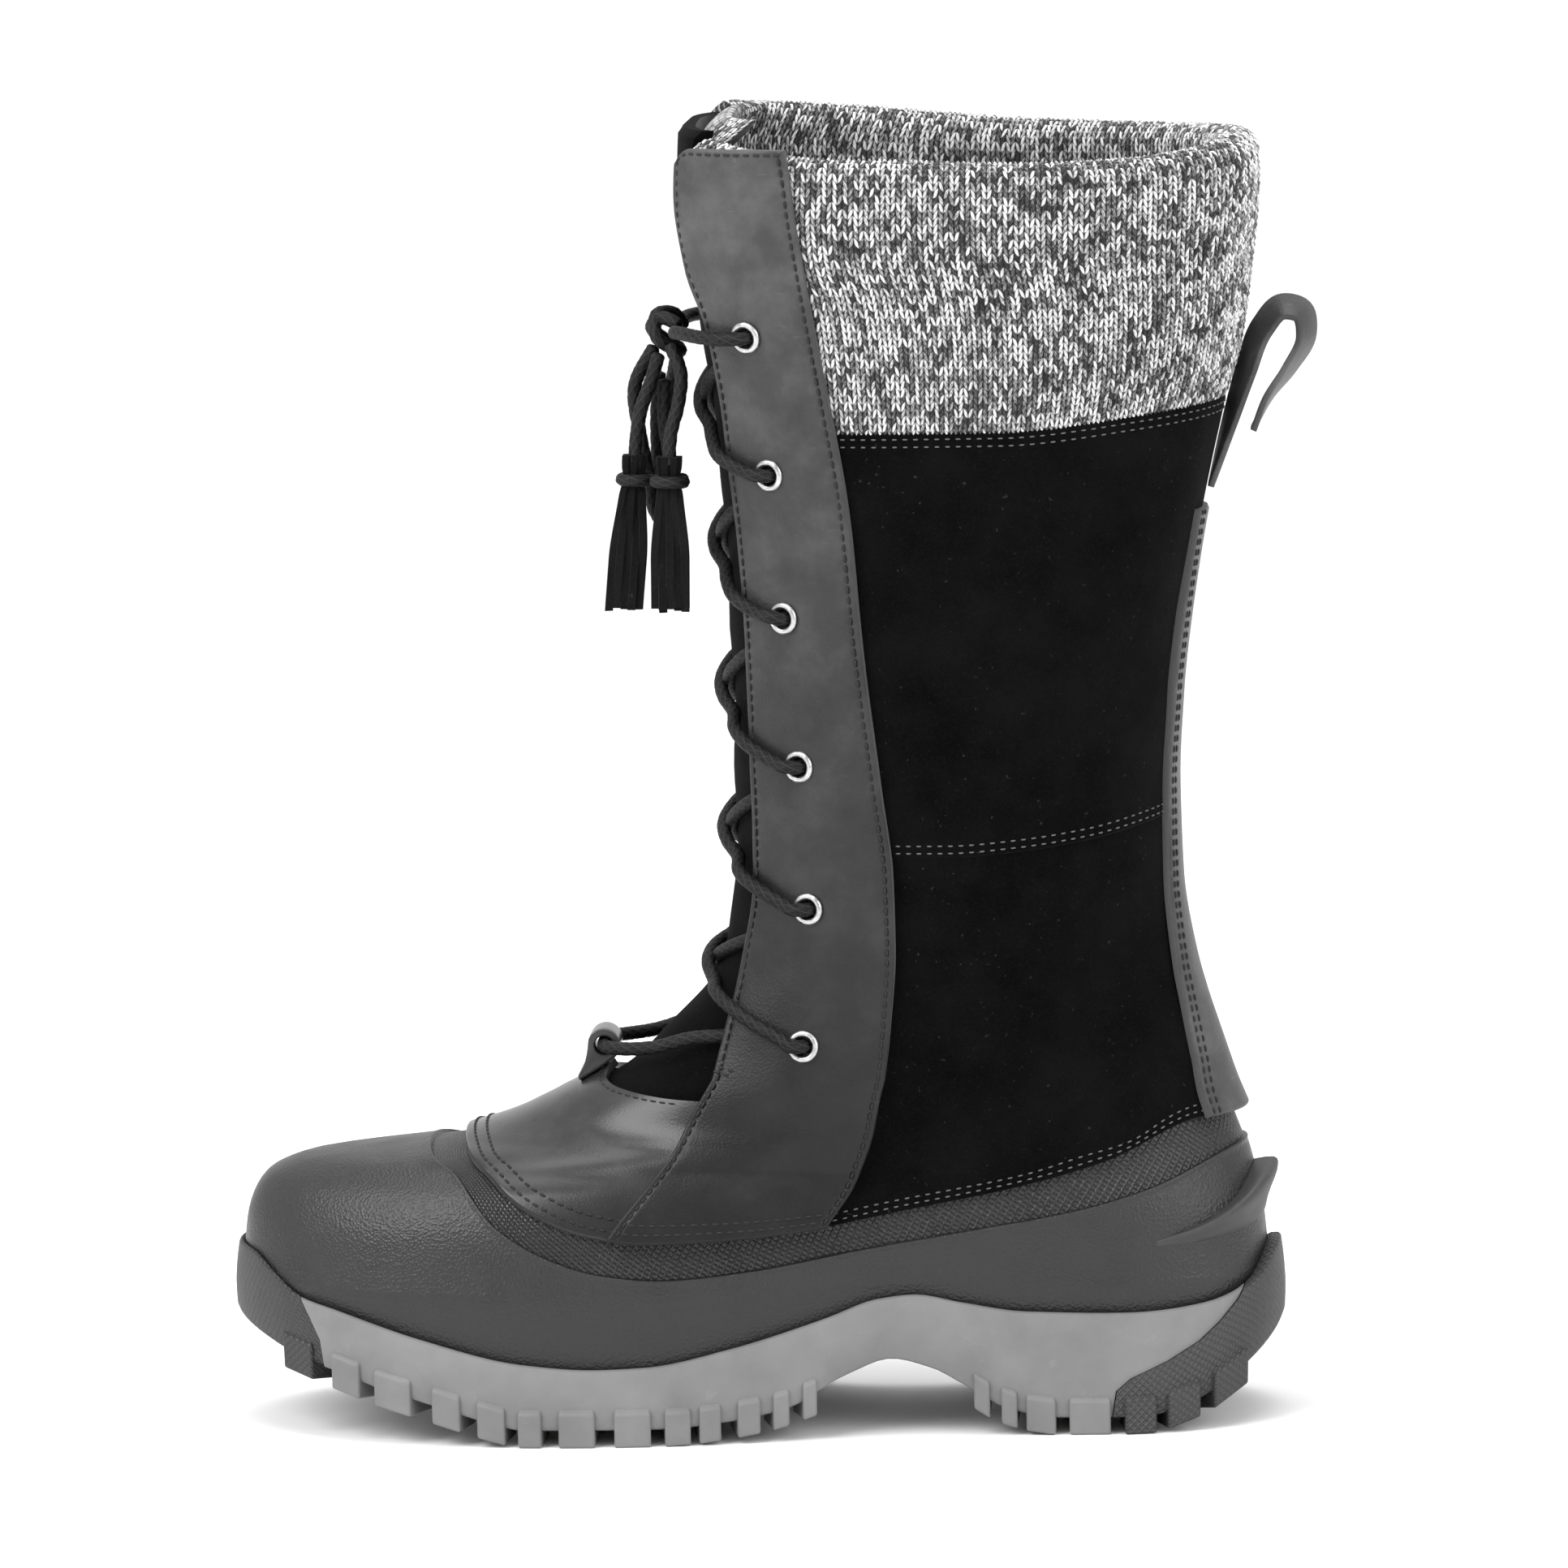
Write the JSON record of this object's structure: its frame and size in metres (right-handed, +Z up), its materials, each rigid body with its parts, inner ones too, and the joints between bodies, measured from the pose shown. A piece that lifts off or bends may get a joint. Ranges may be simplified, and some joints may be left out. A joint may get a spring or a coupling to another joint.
{
  "type": "winter boot",
  "caption": "Tall laced winter boot for the left foot: moulded rubber lower with a lugged sole, leather and suede shaft, knitted collar, tasselled lace.",
  "frame": {"origin": "centre of the boot's box on the ground, without the free lace and its tassels", "axes": "+Z up the shaft, -X towards the toe, -Y towards the outer side of the foot"},
  "size_m": [0.3088, 0.1078, 0.3649],
  "materials": {
    "light_rubber": "matt light grey rubber",
    "black_rubber": "dark grey rubber with a low sheen",
    "leather": "dark waxed leather with a satin gloss",
    "suede": "black suede, matt",
    "knit": "grey and white marled knit",
    "steel": "bright metal",
    "lace": "black braided cord",
    "felt": "grey felt"
  },
  "bodies": {
    "root": {"outsole": "light_rubber", "toe_bumper": "black_rubber", "heel_bumper": "black_rubber", "shell": "black_rubber", "insole": "felt", "upper": "suede", "facing_outer": "leather", "facing_inner": "leather", "back_stay": "leather", "knit_cuff": "knit", "tongue": "suede", "lace_keeper": "leather", "pull_loop": "leather", "lace_bar": "lace", "lace_knot": "lace", "lace_loop_outer": "lace", "lace_loop_inner": "lace", "lace_end_left": "lace", "lace_end_right": "lace", "tassel_left": "suede", "tassel_right": "suede", "eyelet_outer_1": "steel", "eyelet_outer_2": "steel", "eyelet_outer_3": "steel", "eyelet_outer_4": "steel", "eyelet_outer_5": "steel", "eyelet_outer_6": "steel", "eyelet_inner_1": "steel", "eyelet_inner_2": "steel", "eyelet_inner_3": "steel", "eyelet_inner_4": "steel", "eyelet_inner_5": "steel", "eyelet_inner_6": "steel", "lace_crossing_1": "lace", "lace_crossing_2": "lace", "lace_crossing_3": "lace", "lace_crossing_4": "lace", "lace_crossing_5": "lace"}
  },
  "joints": []
}
